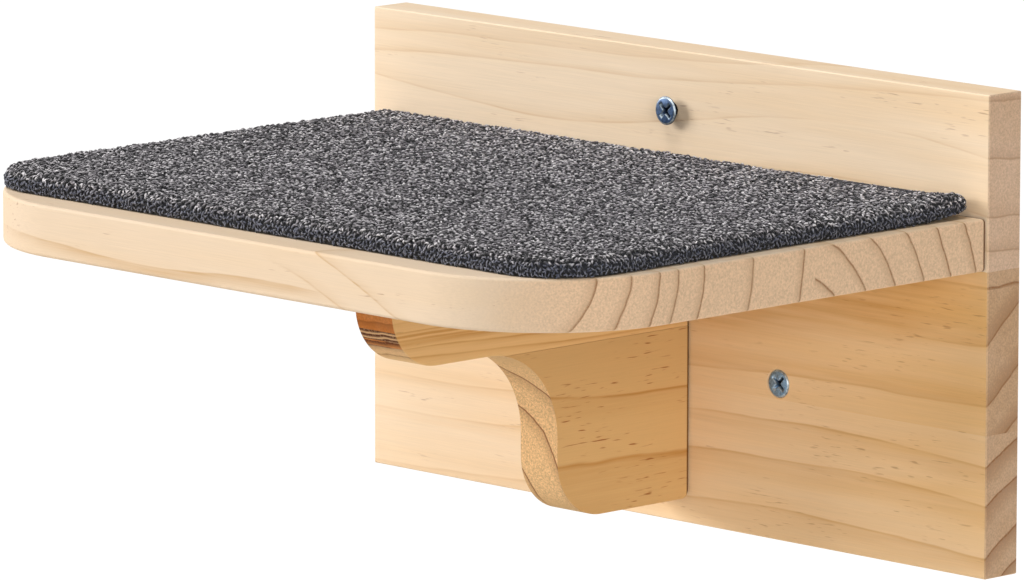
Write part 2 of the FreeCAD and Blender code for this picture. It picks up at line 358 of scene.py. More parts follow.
class StageSettings(bpy.types.PropertyGroup):
    """Camera, floor and surroundings."""

    azimuth: angle("Azimuth", 45.562, "Camera's turn from the front towards the right")
    elevation: angle("Elevation", 9.62, "Camera's angle above the horizon")
    roll: angle("Roll", 0.094, "Camera's turn about its own line of sight")
    distance: size("Distance", 3341.7, "Camera's distance from the point that it looks at")
    target: FloatVectorProperty(
        name="Target", description="Point that the camera looks at", default=(0.00251, -0.09615, 0.00792),
        subtype="TRANSLATION", unit="LENGTH",
    )
    lens: FloatProperty(name="Lens", description="Focal length in mm", default=343.07, unit="CAMERA")
    floor_drop: size("Floor drop", 430.0, "How far the floor lies below the middle of the back board")
    floor: colour("Floor", "F3EEE6", "Pale floor")
    surroundings: FloatProperty(name="Surroundings", description="Light of the pale room", default=0.02)


class CatStepSettings(bpy.types.PropertyGroup):
    """All sizes and colours of the cat step."""

    pine: PointerProperty(type=PineSettings)
    bracket: PointerProperty(type=BracketSettings)
    carpet: PointerProperty(type=CarpetSettings)
    screws: PointerProperty(type=ScrewSettings)
    stage: PointerProperty(type=StageSettings)


def node(tree, kind, inputs=(), **settings):
    """Adds a node with its settings. An input is given a value, a socket, or a node whose result feeds it."""
    made = tree.nodes.new(kind)
    for name, value in settings.items():
        setattr(made, name, value)
    for socket, value in dict(inputs).items():
        if isinstance(value, bpy.types.Node):
            value = next(output for output in value.outputs if output.enabled)
        if isinstance(value, bpy.types.NodeSocket):
            tree.links.new(value, made.inputs[socket])
        else:
            made.inputs[socket].default_value = value
    return made


def new_material(name):
    """An empty node material and its tree."""
    material = bpy.data.materials.new(name)
    material.use_nodes = True
    material.node_tree.nodes.clear()
    return material, material.node_tree


def ring_lines(tree, parts, ragged, stave):
    """Late wood of one stave: 1 on the dark outer line of a ring, falling to 0 in the pale wood inside it."""
    along, across, height = parts
    rise, length, start, slope = stave.wave
    turn = 2 * math.pi / length
    phase = node(tree, "ShaderNodeMath", {0: along, 1: turn, 2: -turn * start}, operation="MULTIPLY_ADD")
    wave = node(tree, "ShaderNodeMath", {0: phase}, operation="SINE")
    lowered = node(tree, "ShaderNodeMath", {0: wave, 1: -rise, 2: height}, operation="MULTIPLY_ADD")
    level = node(tree, "ShaderNodeMath", {0: along, 1: -slope, 2: lowered}, operation="MULTIPLY_ADD")
    section = node(tree, "ShaderNodeCombineXYZ", {1: across, 2: level})
    pith = node(tree, "ShaderNodeVectorMath", {0: section, 1: (0, *stave.pith)}, operation="DISTANCE")
    radius = node(tree, "ShaderNodeMath", {0: pith, 1: ragged}, operation="ADD")
    margin = 1
    first = stave.rings[0][0] - stave.rings[0][1] - margin
    last = stave.rings[-1][0] + margin
    share = node(tree, "ShaderNodeMapRange", {"Value": radius, "From Min": first, "From Max": last})
    lines = node(tree, "ShaderNodeValToRGB", {0: share})
    stops = lines.color_ramp.elements
    stops[1].color = BLACK
    line, soft, edge = 0.1, 0.7, 0.3
    for outer, width, *full in stave.rings:
        even = [(outer - depth, stave.band) for depth in full]
        for place, dark in (
            (outer - width, 0), *even, (outer - soft, stave.band), (outer - line, 1), (outer + edge, 0)
        ):
            stop = stops.new((place - first) / (last - first))
            stop.color = (dark, dark, dark, 1)
    for none, full in stave.clear:
        shown = node(tree, "ShaderNodeMapRange", {"Value": along, "From Min": none, "From Max": full})
        lines = node(tree, "ShaderNodeMath", {0: lines, 1: shown}, operation="MULTIPLY")
    return lines


def stave_rings(tree, parts, ragged, wood):
    """Late wood and tone over a whole board, stave by stave."""
    reach = CAD_BOX[1][ALONG] / MM
    late = tone = None
    for stave in wood.staves:
        tone_here, bold = [
            node(
                tree, "ShaderNodeMapRange",
                {
                    "Value": parts[ALONG], "From Min": -reach, "From Max": reach,
                    "To Min": left, "To Max": right,
                },
            ) for left, right in (stave.tone, stave.bold)
        ]
        lines = ring_lines(tree, parts, ragged, stave)
        if stave.other:
            others = ring_lines(tree, parts, ragged, stave.other)
            lines = node(tree, "ShaderNodeMath", {0: lines, 1: others}, operation="MAXIMUM")
        late_here = node(tree, "ShaderNodeMath", {0: lines, 1: bold}, operation="MULTIPLY")
        if late is None:
            late, tone = late_here, tone_here
            continue
        beyond = node(
            tree, "ShaderNodeMath", {0: parts[wood.split], 1: stave.above}, operation="GREATER_THAN"
        )
        late = node(tree, "ShaderNodeMix", {"Factor": beyond, "A": late, "B": late_here})
        tone = node(tree, "ShaderNodeMix", {"Factor": beyond, "A": tone, "B": tone_here})
    return late, tone


def stretched_noise(tree, place, lengths, detail=2.0):
    """Noise whose blobs are this long along the grain, across it and upwards, in mm."""
    stretch = node(tree, "ShaderNodeMapping", {"Vector": place, "Scale": [1 / length for length in lengths]})
    return node(
        tree, "ShaderNodeTexNoise", {"Vector": stretch, "Scale": 1.0, "Detail": detail, "Roughness": 0.55}
    )


def cut_across(tree, normal, grain):
    """How far a face cuts across the fibres: 0 on a long face, 1 on end grain."""
    fibre_way = [float(axis == grain) for axis in range(3)]
    facing = node(tree, "ShaderNodeVectorMath", {0: normal, 1: fibre_way}, operation="DOT_PRODUCT")
    share = node(tree, "ShaderNodeMath", {0: facing}, operation="ABSOLUTE")
    return node(
        tree, "ShaderNodeMapRange", {"Value": share, "From Min": 0.3, "From Max": 0.9},
        interpolation_type="SMOOTHSTEP",
    )


def pine_rings(tree, place, end, pores, wood):
    """How much late wood shows, in patches, and how warm the wood is, drifting along the grain."""
    parts = node(tree, "ShaderNodeSeparateXYZ", {0: place}).outputs
    wander = stretched_noise(tree, place, RING_WANDER, detail=4.0)
    ragged = node(
        tree, "ShaderNodeMath", {0: wander, 1: RING_WANDER_SIZE, 2: -RING_WANDER_SIZE / 2},
        operation="MULTIPLY_ADD",
    )
    late, tone = stave_rings(tree, parts, ragged, wood)
    patchy = stretched_noise(tree, place, RING_PATCH)
    long_patch = node(
        tree, "ShaderNodeMapRange",
        {"Value": patchy, "From Min": 0.3, "From Max": 0.65, "To Min": 0.45, "To Max": 1.15},
    )
    end_patch = node(
        tree, "ShaderNodeMapRange", {"Value": pores, "From Min": 0.3, "From Max": 0.5, "To Min": 0.5}
    )
    shown = node(tree, "ShaderNodeMix", {"Factor": end, "A": long_patch, "B": end_patch})
    late = node(tree, "ShaderNodeMath", {0: late, 1: shown}, operation="MULTIPLY")
    broad = stretched_noise(tree, place, WARM_DRIFT)
    swing = 0.9
    drift = node(tree, "ShaderNodeMath", {0: broad, 1: swing, 2: -swing / 2}, operation="MULTIPLY_ADD")
    warm = node(tree, "ShaderNodeMath", {0: drift, 1: tone}, operation="ADD", use_clamp=True)
    return late, warm


def pine_tint(tree, tints, end, late, warm):
    """The colour of the wood with its rings: golden bands on a long face, dark lines on end grain."""
    pale, deep, end_pale, end_deep, golden, rings = tints
    long_wood = node(tree, "ShaderNodeMix", {"Factor": warm, "A": pale, "B": deep}, data_type="RGBA")
    end_wood = node(tree, "ShaderNodeMix", {"Factor": warm, "A": end_pale, "B": end_deep}, data_type="RGBA")
    early = node(tree, "ShaderNodeMix", {"Factor": end, "A": long_wood, "B": end_wood}, data_type="RGBA")
    band = node(tree, "ShaderNodeVectorMath", {0: long_wood, 1: golden[:3]}, operation="MULTIPLY")
    dark = node(tree, "ShaderNodeMix", {"Factor": end, "A": band, "B": rings}, data_type="RGBA")
    return node(tree, "ShaderNodeMix", {"Factor": late, "A": early, "B": dark}, data_type="RGBA")


def resin_flecks(tree, place, end, warm, wood):
    """Short resin channels along the grain, in loose swarms on long faces, more in warmer wood."""
    streaks = stretched_noise(tree, place, RESIN_CHANNEL, detail=1.0)
    shape = node(
        tree, "ShaderNodeMapRange", {"Value": streaks, "From Min": 0.62, "From Max": 0.75},
        interpolation_type="SMOOTHSTEP",
    )
    swarm = stretched_noise(tree, place, RESIN_SWARM, detail=1.0)
    pull = 0.16
    crowd = node(tree, "ShaderNodeMath", {0: warm, 1: pull, 2: swarm}, operation="MULTIPLY_ADD")
    sparse, dense = 0.6 - wood.plenty, 0.7 - wood.plenty
    swarms = node(tree, "ShaderNodeMapRange", {"Value": crowd, "From Min": sparse, "From Max": dense})
    flecks = node(tree, "ShaderNodeMath", {0: shape, 1: swarms}, operation="MULTIPLY")
    strength = node(tree, "ShaderNodeMapRange", {"Value": end, "To Min": wood.flecks, "To Max": 0.0})
    return node(tree, "ShaderNodeMath", {0: flecks, 1: strength}, operation="MULTIPLY")


def joint_shadowed(tree, tint, spot, joint, glue):
    """The tint, darkened by a painted shadow in a glue brown over the last millimetre before the joint."""
    unshadowed, fully_shadowed, cover = 0.9 * MM, 0.3 * MM, 0.95
    place = node(tree, "ShaderNodeSeparateXYZ", {0: spot})
    shadow_share = node(
        tree, "ShaderNodeMapRange",
        {"Value": place.outputs[OUT], "From Min": joint - unshadowed, "From Max": joint - fully_shadowed, "To Max": cover},
    )
    return node(tree, "ShaderNodeMix", {"Factor": shadow_share, "A": tint, "B": glue}, data_type="RGBA")


def pine(look, wood, joint=None):
    """Planed pine, sanded and left matt: pale wood with golden late-wood bands that run along the grain and
    become thin dark arcs on the end grain, fine fibres, and short brown resin flecks. Where the piece butts
    against the back board, at joint, a painted shadow in a glue brown darkens its edge. On the back board,
    one more band of late wood is a painted shadow of the shelf."""
    material, tree = new_material(wood.name)
    spot = node(tree, "ShaderNodeTexCoord")
    quarter_turn = -math.pi / 2 if wood.grain == OUT else 0
    place = node(
        tree, "ShaderNodeMapping",
        {"Vector": spot.outputs["Object"], "Rotation": (0, 0, quarter_turn), "Scale": (1 / MM,) * 3},
    )
    end = cut_across(tree, spot.outputs["Normal"], wood.grain)
    pores = stretched_noise(tree, place, PORE)
    fibres = stretched_noise(tree, place, FIBRE)
    late, warm = pine_rings(tree, place, end, pores, wood)
    tint = pine_tint(tree, [getattr(look, name) for name in wood.tints], end, late, warm)
    flecks = resin_flecks(tree, place, end, warm, wood)
    tint = node(tree, "ShaderNodeMix", {"Factor": flecks, "A": tint, "B": look.resin}, data_type="RGBA")
    combed = node(
        tree, "ShaderNodeMapRange",
        {"Value": fibres, "From Min": 0.25, "From Max": 0.75, "To Min": 0.96, "To Max": 1.03},
    )
    sandy = node(
        tree, "ShaderNodeMapRange",
        {"Value": pores, "From Min": 0.3, "From Max": 0.7, "To Min": 1 - wood.sand, "To Max": 1 + wood.sand},
    )
    shade = node(tree, "ShaderNodeMix", {"Factor": end, "A": combed, "B": sandy})
    tint = node(tree, "ShaderNodeVectorMath", {0: tint, 1: shade}, operation="MULTIPLY")
    # Painted shadow along the joint with the back board
    if joint is not None:
        tint = joint_shadowed(tree, tint, spot.outputs["Object"], joint, look.glue)
    rough = node(tree, "ShaderNodeMapRange", {"Value": fibres, "To Min": 0.5, "To Max": 0.7})
    relief = node(tree, "ShaderNodeMix", {"Factor": end, "A": fibres, "B": pores})
    bump = node(tree, "ShaderNodeBump", {"Height": relief, "Strength": 0.3, "Distance": 0.15 * MM})
    surface = node(
        tree, "ShaderNodeBsdfPrincipled",
        {"Base Color": tint, "Roughness": rough, "Normal": bump, "Specular IOR Level": 0.08},
    )
    node(tree, "ShaderNodeOutputMaterial", {"Surface": surface})
    return material


def heather_yarn(look, top):
    """Solution-dyed, wool-like yarn, looped and heathered: matt fibres in greys from charcoal to pale, with a
    soft sheen at grazing angles, painted shade down to their feet, and slate blue where the pile was cut
    along its edge. Single fibres are too fine to show, so the fuzz is drawn a quarter of a millimetre wide."""
    material, tree = new_material("heathered loop yarn")
    yarn = node(tree, "ShaderNodeAttribute", attribute_name="yarn")
    mix = node(tree, "ShaderNodeValToRGB", {0: yarn.outputs["Fac"]})
    stops = mix.color_ramp.elements
    stops[0].color = look.dark_yarn
    stops[1].color = look.pale_yarn
    grey_share = 0.6
    stops.new(grey_share).color = look.grey_yarn
    spot = node(tree, "ShaderNodeTexCoord").outputs["Object"]
    height = node(tree, "ShaderNodeSeparateXYZ", {0: spot}).outputs[UP]
    tinted_from, tinted_below = top - 0.9 * MM, top - 3.2 * MM
    edge = node(
        tree, "ShaderNodeMapRange",
        {"Value": height, "From Min": tinted_from, "From Max": tinted_below, "To Max": 0.85},
        interpolation_type="SMOOTHSTEP",
    )
    dyed = node(tree, "ShaderNodeMix", {"Factor": edge, "A": mix, "B": look.edge_yarn}, data_type="RGBA")
    tip = node(tree, "ShaderNodeAttribute", attribute_name="tip")
    # Painted shade: each loop darkens towards its foot, by its height
    depth = node(
        tree, "ShaderNodeMapRange",
        {"Value": tip.outputs["Fac"], "From Min": 0.52, "From Max": 0.95, "To Min": 0.04},
        interpolation_type="SMOOTHSTEP",
    )
    shaded = node(tree, "ShaderNodeVectorMath", {0: dyed, 1: depth}, operation="MULTIPLY")
    fuzz_size = 0.25 * MM
    fuzz = node(tree, "ShaderNodeTexNoise", {"Vector": spot, "Scale": 1 / fuzz_size})
    bump = node(tree, "ShaderNodeBump", {"Height": fuzz, "Strength": 0.5, "Distance": 0.08 * MM})
    surface = node(
        tree, "ShaderNodeBsdfPrincipled",
        {"Base Color": shaded, "Roughness": 0.85, "Sheen Weight": 0.25, "Normal": bump},
    )
    node(tree, "ShaderNodeOutputMaterial", {"Surface": surface})
    return material


def felt(name, tint, fibre):
    """Matt fibrous sheet, such as a needled bed, a woven backing or paper tape: no shine, and mottled in
    blobs as wide as fibre, which is drawn coarser than the real fibres so that it shows."""
    material, tree = new_material(name)
    spot = node(tree, "ShaderNodeTexCoord").outputs["Object"]
    mottle = node(tree, "ShaderNodeTexNoise", {"Vector": spot, "Scale": 1 / fibre, "Detail": 3.0})
    shade = node(tree, "ShaderNodeMapRange", {"Value": mottle, "To Min": 0.5, "To Max": 1.5})
    ground = node(tree, "ShaderNodeVectorMath", {0: tint[:3], 1: shade}, operation="MULTIPLY")
    bump = node(tree, "ShaderNodeBump", {"Height": mottle, "Strength": 0.6, "Distance": fibre})
    surface = node(
        tree, "ShaderNodeBsdfPrincipled", {"Base Color": ground, "Roughness": 0.95, "Normal": bump}
    )
    node(tree, "ShaderNodeOutputMaterial", {"Surface": surface})
    return material


def blue_zinc(look):
    """Zinc plate with blue passivation: a cool, cloudy metal, with a painted highlight on the edges of the
    head and round the recess, and painted shade in the bottom of the recess and on the cone under the head."""
    material, tree = new_material("blue-passivated zinc")
    worn = node(tree, "ShaderNodeAttribute", attribute_name="worn").outputs["Fac"]
    plating = node(tree, "ShaderNodeAttribute", attribute_name="plating").outputs["Fac"]
    plated = node(
        tree, "ShaderNodeMix", {"Factor": plating, "A": look.zinc, "B": look.grey_zinc}, data_type="RGBA"
    )
    # Painted highlight on the bevel and round the recess
    glint_share = node(tree, "ShaderNodeMapRange", {"Value": worn, "From Min": PLAIN, "From Max": PAINTED_HIGHLIGHT})
    glinting = node(
        tree, "ShaderNodeMix", {"Factor": glint_share, "A": plated, "B": look.zinc_highlight}, data_type="RGBA"
    )
    # Painted shade in the recess and painted shadow on the cone under the head
    unshaded_share = node(tree, "ShaderNodeMapRange", {"Value": worn, "From Min": PAINTED_SHADE, "From Max": PLAIN})
    metal = node(
        tree, "ShaderNodeMix", {"Factor": unshaded_share, "A": look.recess, "B": glinting}, data_type="RGBA"
    )
    spot = node(tree, "ShaderNodeTexCoord").outputs["Object"]
    cloud_size = 0.8 * MM
    cloud = node(tree, "ShaderNodeTexNoise", {"Vector": spot, "Scale": 1 / cloud_size, "Detail": 3.0})
    shade = node(
        tree, "ShaderNodeMapRange",
        {"Value": cloud, "From Min": 0.3, "From Max": 0.7, "To Min": 0.45, "To Max": 1.5},
    )
    tint = node(tree, "ShaderNodeVectorMath", {0: metal, 1: shade}, operation="MULTIPLY")
    rough = node(tree, "ShaderNodeMapRange", {"Value": cloud, "To Min": 0.25, "To Max": 0.5})
    surface = node(
        tree, "ShaderNodeBsdfPrincipled", {"Base Color": tint, "Roughness": rough, "Metallic": 0.5}
    )
    node(tree, "ShaderNodeOutputMaterial", {"Surface": surface})
    return material


def new_piece(name, mesh):
    """An object in the scene for a mesh that is already in its place."""
    piece = bpy.data.objects.new(name, mesh)
    bpy.context.scene.collection.objects.link(piece)
    return piece


def piece_of(name, shape):
    """An object in the scene for a bmesh, which is used up."""
    mesh = bpy.data.meshes.new(name)
    shape.to_mesh(mesh)
    shape.free()
    return new_piece(name, mesh)


def settled(piece, cutters=()):
    """The piece with its modifiers worked into a plain mesh, and without the cutters that it needed."""
    bpy.context.view_layer.update()
    shown = piece.evaluated_get(bpy.context.evaluated_depsgraph_get())
    mesh = bpy.data.meshes.new_from_object(shown)
    piece.modifiers.clear()
    piece.data = mesh
    for cutter in cutters:
        bpy.data.objects.remove(cutter)
    return piece


def cut_by(piece, cutters):
    """Takes the cutters out of the piece, once it is settled."""
    for cutter in cutters:
        cut = piece.modifiers.new("cut", "BOOLEAN")
        cut.object = cutter
        cut.operation = "DIFFERENCE"
        cut.solver = "EXACT"


def dress(piece, material):
    """Gives the whole piece one material."""
    piece.data.materials.clear()
    piece.data.materials.append(material)


def hand_over(piece, slot, *nodes):
    """Ties a finished piece to the frame: what it rides on, and the nodes that it stands for. The slot is not
    used.
    """
    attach(piece, BODY)
    if nodes:
        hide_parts(*nodes)


def arc(centre, radius, first, last):
    """Points on an arc from its first to its last angle, in degrees, about 3 degrees apart."""
    apart = 3
    count = max(2, round(abs(last - first) / apart))
    turns = [math.radians(first + (last - first) * step / count) for step in range(count + 1)]
    return [
        Vector((centre[0] + radius * math.cos(turn), centre[1] + radius * math.sin(turn))) for turn in turns
    ]


def rounded_plan(low, high, front_radius, back_radius):
    """A rectangle seen from above, anticlockwise, with rounded front corners and, if wanted, back ones."""
    front, back = low.y + front_radius, high.y - back_radius
    outline = arc((low.x + front_radius, front), front_radius, 180, 270)
    outline += arc((high.x - front_radius, front), front_radius, 270, 360)
    if not back_radius:
        return outline + [Vector((high.x, high.y)), Vector((low.x, high.y))]
    outline += arc((high.x - back_radius, back), back_radius, 0, 90)
    return outline + arc((low.x + back_radius, back), back_radius, 90, 180)


def walls(shape, rings):
    """Joins closed rings of vertices in a bmesh, each to the next, by four-sided faces."""
    for ring, further in zip(rings, rings[1:]):
        for index, corner in enumerate(ring):
            after = (index + 1) % len(ring)
            shape.faces.new((corner, ring[after], further[after], further[index]))


def prism(name, outline, place, low, high, eased):
    """A solid with this outline from low to high. place puts an outline point and a depth into the frame, and
    eased says how far each edge gets a rounded arris."""
    shape = bmesh.new()
    weight = shape.edges.layers.float.new("bevel_weight_edge")
    rims = [[shape.verts.new(place(point, depth)) for point in outline] for depth in (low, high)]
    walls(shape, rims)
    for rim in rims:
        shape.faces.new(rim)
    for edge in shape.edges:
        edge[weight] = float(eased(edge))
    bmesh.ops.recalc_face_normals(shape, faces=shape.faces)
    for edge in shape.edges:
        edge.smooth = edge[weight] > 0 or edge.calc_face_angle() < SMOOTH_UNDER
    for face in shape.faces:
        face.smooth = True
    return piece_of(name, shape)


def ease_and_drill(piece, arris, cutters):
    """Rounds the piece's weighted edges, cuts the holes, and flattens the shading of its large faces."""
    bevel = piece.modifiers.new("arris", "BEVEL")
    bevel.limit_method = "WEIGHT"
    bevel.width = arris
    bevel.segments = 3
    cut_by(piece, cutters)
    flat = piece.modifiers.new("flat faces", "WEIGHTED_NORMAL")
    flat.weight = 100
    flat.keep_sharp = True
    settled(piece, cutters)


def is_rim(edge, axis):
    """True for an edge of an outline's rim, which lies square to the axis and isn't a seam of the wall."""
    return abs(edge.verts[0].co[axis] - edge.verts[1].co[axis]) < TOUCH


def screw_boxes(name, axis):
    """The least and greatest corner of each screw of a node, whose screws lie along the axis."""
    sides = [side for side in range(3) if side != axis]
    reach = 12 * MM
    screws = []
    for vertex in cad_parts[name].data.vertices:
        here = [vertex.co[side] for side in sides]
        for start, points in screws:
            if math.dist(here, start) < reach:
                points.append(vertex.co.copy())
                break
        else:
            screws.append((here, [vertex.co.copy()]))
    boxes = [(Vector(map(min, zip(*points))), Vector(map(max, zip(*points)))) for _, points in screws]
    return sorted(boxes, key=lambda box: tuple(box[0]))


def head_places(node_name, way):
    """The middle of each screw's head flat in a node whose screws go in this way."""
    heading = way @ Vector((0, 0, 1))
    axis = max(range(3), key=lambda side: abs(heading[side]))
    places = []
    for low, high in screw_boxes(node_name, axis):
        place = (low + high) / 2
        place[axis] = low[axis] if heading[axis] > 0 else high[axis]
        places.append(place)
    return places


def turned(shape, profile, sides):
    """Adds a closed round form about Z to a bmesh, from (radius, height) points, its ends on the axis."""
    turns = [2 * math.pi * step / sides for step in range(sides)]
    rings = [
        [shape.verts.new((radius * math.cos(turn), radius * math.sin(turn), height)) for turn in turns]
        for radius, height in profile[1:-1]
    ]
    foot, tip = [shape.verts.new((0, 0, height)) for _, height in (profile[0], profile[-1])]
    walls(shape, rings)
    for index in range(sides):
        shape.faces.new((foot, rings[0][index], rings[0][index - 1]))
        shape.faces.new((tip, rings[-1][index - 1], rings[-1][index]))


def thread(shape, form, pitch):
    """Adds a helical ridge from the plain shank to the point, thinning out at both ends."""
    steps = 20
    bare_tip, bite, flank = 1.0, 0.15, 0.3 * pitch
    start, end = form["plain"], form["length"] - bare_tip
    rows = []
    for index in range(int((end - start) / pitch * steps) + 1):
        turn = 2 * math.pi * index / steps
        height = start + pitch * index / steps
        taper = min(1.0, (form["length"] - height) / form["point"])
        grow = min(1.0, index / steps)
        root = (form["core"] - bite) * taper
        crest = root + bite * taper + (form["thread"] - form["core"]) * grow * taper
        spots = ((root, height - flank), (crest, height), (root, height + flank))
        rows.append([shape.verts.new((r * math.cos(turn), r * math.sin(turn), z)) for r, z in spots])
    walls(shape, rows)
    shape.faces.new(rows[0])
    shape.faces.new(rows[-1])


def head_and_shank(form):
    """Half the section of a screw without its thread, as (radius, height) points from the flat."""
    head, shank, core = form["head"], form["shank"], form["core"]
    plain, length = form["plain"], form["length"]
    flat, bevel, rim = head * HEAD_FLAT, head * HEAD_BEVEL, head * HEAD_RIM
    arris_out, arris_down, rim_in, rim_high = 0.12, 0.05, 0.25, 0.15
    shoulder, blunt, blunt_from = 1.0, core * 0.45, 1.6
    return [
        (0, 0), (flat, 0), (flat + arris_out, arris_down), (head - rim_in, bevel), (head, rim),
        (head, rim + rim_high), (shank, head - shank + rim), (shank, plain - shoulder), (core, plain),
        (core, length - form["point"]), (blunt, length - blunt_from), (0, length),
    ]


def painted_light_at(place, head):
    """Painted light at a place on a screw: painted highlight on the bevel and round the recess, painted shade
    in it and below.
    """
    out = math.hypot(place.x, place.y)
    hair, margin, rim_in = 0.02, 0.1, 0.2
    recess_reach, recess_depth = head * 0.72, head * 0.7
    # Painted highlight on the lip of the recess, painted shade deeper in it
    if out < recess_reach and hair / 2 < place.z < recess_depth:
        return PAINTED_HIGHLIGHT if place.z < LIP + hair else PAINTED_SHADE
    # Painted highlight on the bevel of the head
    if head * HEAD_FLAT + margin < out < head - rim_in:
        return PAINTED_HIGHLIGHT
    # Painted shadow on the rim and the cone under the head
    on_cone = out > head - rim_in or head * HEAD_RIM + margin < place.z < head
    return PAINTED_SHADE if on_cone else PLAIN


def screw_mesh(name, form, look):
    """A countersunk wood screw with a bevelled head, a cross recess and a coarse thread, along +Z."""
    shape = bmesh.new()
    turned(shape, head_and_shank(form), SCREW_SIDES)
    piece = piece_of(name, shape)
    cutters = recess_cutters(name + " recess", form["head"], look.wing / MM)
    cut_by(piece, cutters)
    settled(piece, cutters)
    shape = bmesh.new()
    shape.from_mesh(piece.data)
    thread(shape, form, look.pitch / MM)
    bmesh.ops.recalc_face_normals(shape, faces=shape.faces)
    # Each vertex keeps its painted highlight or painted shade
    worn = shape.verts.layers.float.new("worn")
    for vertex in shape.verts:
        vertex[worn] = painted_light_at(vertex.co, form["head"])
    for face in shape.faces:
        face.smooth = True
    bmesh.ops.scale(shape, vec=(MM,) * 3, verts=shape.verts)
    shape.to_mesh(piece.data)
    shape.free()
    piece.data.set_sharp_from_angle(angle=SHARP_OVER)
    return piece


def recess_cutters(name, head, wing):
    """The tapered cross that a driver fits: a small cone and two wings that flare at their mouth."""
    depth, above = head * 0.55, 0.5
    cone_mouth, cone_foot, cone_depth, cone_tip = head * 0.25, head * 0.2, depth * 0.7, depth * 1.15
    mouth, throat, foot, foot_half = head * 0.7, head * 0.64, head * 0.28, wing * 0.4
    cone = bmesh.new()
    turned(cone, [(0, -above), (cone_mouth, -above), (cone_foot, cone_depth), (0, cone_tip)], CONE_SIDES)
    shapes = [cone]
    levels = (
        (-above, mouth + above, wing / 2 + LIP + above), (0, mouth, wing / 2 + LIP),
        (LIP, throat, wing / 2), (depth, foot, foot_half),
    )
    for turn in (0, math.pi / 2):
        spin = Matrix.Rotation(turn, 3, "Z")
        shape = bmesh.new()
        rings = []
        for height, reach, half in levels:
            corners = ((-reach, -half), (reach, -half), (reach, half), (-reach, half))
            rings.append([shape.verts.new(spin @ Vector((x, y, height))) for x, y in corners])
        walls(shape, rings)
        shape.faces.new(rings[0])
        shape.faces.new(rings[-1])
        shapes.append(shape)
    for shape in shapes:
        bmesh.ops.recalc_face_normals(shape, faces=shape.faces)
    return [piece_of(name, shape) for shape in shapes]


def bore(name, form):
    """The countersunk hole that an assembly screw goes into, along +Z from the face that it goes in by."""
    mouth = form["head"] + HOLE_PLAY + HEAD_SINK
    half = form["thread"] + HOLE_PLAY
    end = form["length"] + HEAD_SINK + HOLE_PLAY
    above = 1
    shape = bmesh.new()
    profile = [(0, -above), (mouth + above, -above), (half, mouth - half), (half, end), (0, end)]
    turned(shape, profile, BORE_SIDES)
    bmesh.ops.recalc_face_normals(shape, faces=shape.faces)
    bmesh.ops.scale(shape, vec=(MM,) * 3, verts=shape.verts)
    return piece_of(name, shape)


def geometry_tree(name, inputs):
    """A geometry node tree with these named inputs, and the sockets that they arrive on."""
    tree = bpy.data.node_groups.new(name, "GeometryNodeTree")
    tree.is_modifier = True
    tree.interface.new_socket("Geometry", in_out="INPUT", socket_type="NodeSocketGeometry")
    for label, kind in inputs.items():
        tree.interface.new_socket(label, in_out="INPUT", socket_type=kind)
    tree.interface.new_socket("Geometry", in_out="OUTPUT", socket_type="NodeSocketGeometry")
    return tree, node(tree, "NodeGroupInput").outputs


def grown(piece, tree, values):
    """Runs a geometry node tree on a piece, and keeps the result as its plain mesh."""
    modifier = piece.modifiers.new(tree.name, "NODES")
    modifier.node_group = tree
    sockets = {item.name: item.identifier for item in tree.interface.items_tree if item.in_out == "INPUT"}
    for label, value in values.items():
        modifier[sockets[label]] = value
    return settled(piece)


def fastener_tree():
    """Puts a fastener on every point, turned by the point's own rotation, with one material."""
    tree, given = geometry_tree(
        "Fasteners on points", {"Fastener": "NodeSocketObject", "Material": "NodeSocketMaterial"}
    )
    fastener = node(tree, "GeometryNodeObjectInfo", {"Object": given["Fastener"]})
    aim = node(tree, "GeometryNodeInputNamedAttribute", {"Name": "aim"}, data_type="FLOAT_VECTOR")
    turn = node(tree, "FunctionNodeEulerToRotation", {0: aim})
    placed = node(
        tree, "GeometryNodeInstanceOnPoints",
        {"Points": given["Geometry"], "Instance": fastener.outputs["Geometry"], "Rotation": turn},
    )
    real = node(tree, "GeometryNodeRealizeInstances", {0: placed})
    dressed = node(tree, "GeometryNodeSetMaterial", {"Geometry": real, "Material": given["Material"]})
    node(tree, "NodeGroupOutput", {0: dressed})
    return tree


def fasteners(name, template, places, way, spins, material=None, platings=()):
    """A row of fasteners, one at each place, each with its own spin and its share of grey plating."""
    mesh = bpy.data.meshes.new(name)
    mesh.from_pydata(places, [], [])
    aim = mesh.attributes.new("aim", "FLOAT_VECTOR", "POINT")
    for index, spin in enumerate(spins):
        turn = way @ Matrix.Rotation(math.radians(spin), 3, "Z")
        aim.data[index].vector = turn.to_euler()
    plating = mesh.attributes.new("plating", "FLOAT", "POINT")
    for index, share in enumerate(platings):
        plating.data[index].value = share
    row = grown(new_piece(name, mesh), fastener_tree(), {"Fastener": template, "Material": material})
    bpy.data.objects.remove(template)
    return row


def screw_holes(name, node_name, form, way):
    """Cutters for the holes of a node's assembly screws, from the face that they go in by."""
    back = way @ Vector((0, 0, -HEAD_SINK * MM))
    places = [place + back for place in head_places(node_name, way)]
    return fasteners(name, bore(name + " bore", form), places, way, [0] * len(places))


